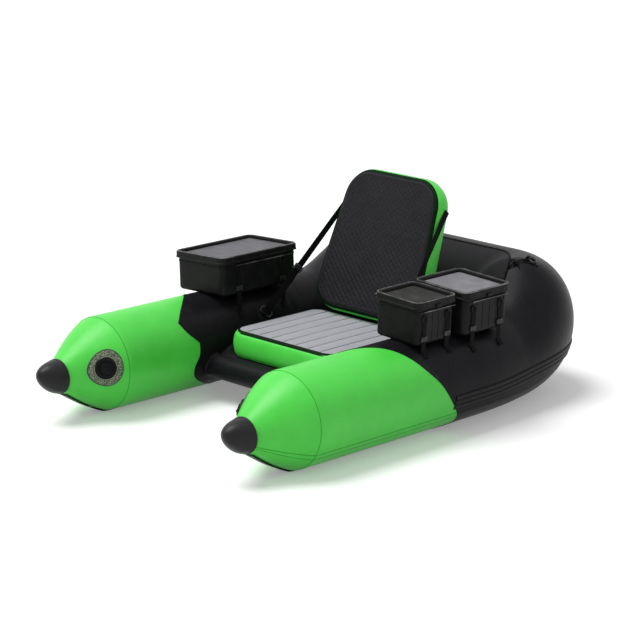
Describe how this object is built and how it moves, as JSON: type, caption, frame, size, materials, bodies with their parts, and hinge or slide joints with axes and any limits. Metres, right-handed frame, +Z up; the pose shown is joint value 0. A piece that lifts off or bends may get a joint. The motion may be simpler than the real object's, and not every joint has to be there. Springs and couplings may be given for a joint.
{
  "type": "float tube",
  "caption": "One-seat inflatable float tube, open bow, raised stern, folding backrest, strapped storage boxes.",
  "frame": {"origin": "middle of the box, on the plane that the keel strips rest on", "axes": "+X to port, +Y to the stern, +Z up; the open bow points to -Y"},
  "size_m": [1.1968, 1.7, 0.7272],
  "materials": {
    "green_skin": "coated fabric, satin",
    "black_skin": "coated fabric, satin",
    "black_rubber": "matt, ribbed",
    "black_plastic": "moulded, satin",
    "grey_foam": "closed-cell foam with grooves",
    "dark_foam": "closed-cell foam with embossed diamonds",
    "webbing": "woven",
    "dark_cloth": "coated cloth",
    "box_plastic": "moulded, fine grain",
    "pin_steel": "drawn wire"
  },
  "bodies": {
    "hull": {"backrest_hinge_tab": "dark_cloth", "chamber_baffle": "dark_cloth", "front_thwart": "black_skin", "port_aft_box_aft_strap": "webbing", "port_aft_box_body": "box_plastic", "port_aft_box_fore_strap": "webbing", "port_aft_box_hinge_pin": "pin_steel", "port_apron_lacing": "webbing", "port_apron_ring": "black_plastic", "port_apron_ring_patch": "black_skin", "port_back_strap": "webbing", "port_bow_skin": "green_skin", "port_fore_box_aft_strap": "webbing", "port_fore_box_body": "box_plastic", "port_fore_box_fore_strap": "webbing", "port_fore_box_hinge_pin": "pin_steel", "port_keel_strip": "black_rubber", "port_nose_cap": "black_rubber", "port_ring_patch": "black_skin", "port_side_skin": "black_skin", "port_strap_buckle": "black_plastic", "port_strap_ring": "black_plastic", "port_valve_body": "black_plastic", "port_valve_patch": "black_skin", "rear_apron": "dark_cloth", "rub_strake": "black_rubber", "seat_cushion": "green_skin", "seat_floor": "dark_cloth", "seat_pad": "grey_foam", "seat_valve_plug": "black_plastic", "starboard_apron_lacing": "webbing", "starboard_apron_ring": "black_plastic", "starboard_apron_ring_patch": "black_skin", "starboard_back_strap": "webbing", "starboard_bow_skin": "green_skin", "starboard_box_aft_strap": "webbing", "starboard_box_body": "box_plastic", "starboard_box_fore_strap": "webbing", "starboard_box_hinge_pin": "pin_steel", "starboard_keel_strip": "black_rubber", "starboard_nose_cap": "black_rubber", "starboard_ring_patch": "black_skin", "starboard_side_skin": "black_skin", "starboard_strap_buckle": "black_plastic", "starboard_strap_ring": "black_plastic", "starboard_valve_body": "black_plastic", "starboard_valve_patch": "black_skin", "stern_skin": "black_skin"},
    "backrest": {"backrest_cushion": "green_skin", "backrest_pad": "dark_foam", "backrest_valve_plug": "black_plastic"},
    "starboard_lid": {"starboard_box_lid": "box_plastic"},
    "port_fore_lid": {"port_fore_box_lid": "box_plastic"},
    "port_aft_lid": {"port_aft_box_lid": "box_plastic"},
    "port_cap": {"port_valve_cap": "black_plastic"},
    "starboard_cap": {"starboard_valve_cap": "black_plastic"},
    "port_poppet": {"port_valve_poppet": "black_plastic"},
    "starboard_poppet": {"starboard_valve_poppet": "black_plastic"}
  },
  "joints": [
    {"name": "backrest_fold", "type": "hinge", "parent": "hull", "child": "backrest", "pos_m": [0, 0.19665, 0.27822], "axis": [1, 0, 0], "range_deg": [0, 105], "deforming": ["port_back_strap", "starboard_back_strap"]},
    {"name": "starboard_lid_open", "type": "hinge", "parent": "hull", "child": "starboard_lid", "pos_m": [-0.57592, 0.038, 0.4329], "axis": [0, -1, 0], "range_deg": [0, 100]},
    {"name": "port_fore_lid_open", "type": "hinge", "parent": "hull", "child": "port_fore_lid", "pos_m": [0.33766, -0.0155, 0.45415], "axis": [0, -1, 0], "range_deg": [0, 100]},
    {"name": "port_aft_lid_open", "type": "hinge", "parent": "hull", "child": "port_aft_lid", "pos_m": [0.31968, 0.208, 0.455], "axis": [0, -1, 0], "range_deg": [0, 100]},
    {"name": "port_cap_turn", "type": "hinge", "parent": "hull", "child": "port_cap", "pos_m": [0.31961, -0.663, 0.18293], "axis": [-0.8371, -0.5193, 0.1719], "range_deg": [0, 90]},
    {"name": "port_poppet_press", "type": "slide", "parent": "hull", "child": "port_poppet", "axis": [0.8371, 0.5193, -0.1719], "range_m": [0, 0.004], "stiffness_N_per_m": 300},
    {"name": "starboard_cap_turn", "type": "hinge", "parent": "hull", "child": "starboard_cap", "pos_m": [-0.31961, -0.663, 0.18293], "axis": [0.8371, -0.5193, 0.1719], "range_deg": [0, 90]},
    {"name": "starboard_poppet_press", "type": "slide", "parent": "hull", "child": "starboard_poppet", "axis": [-0.8371, 0.5193, -0.1719], "range_m": [0, 0.004], "stiffness_N_per_m": 300}
  ]
}
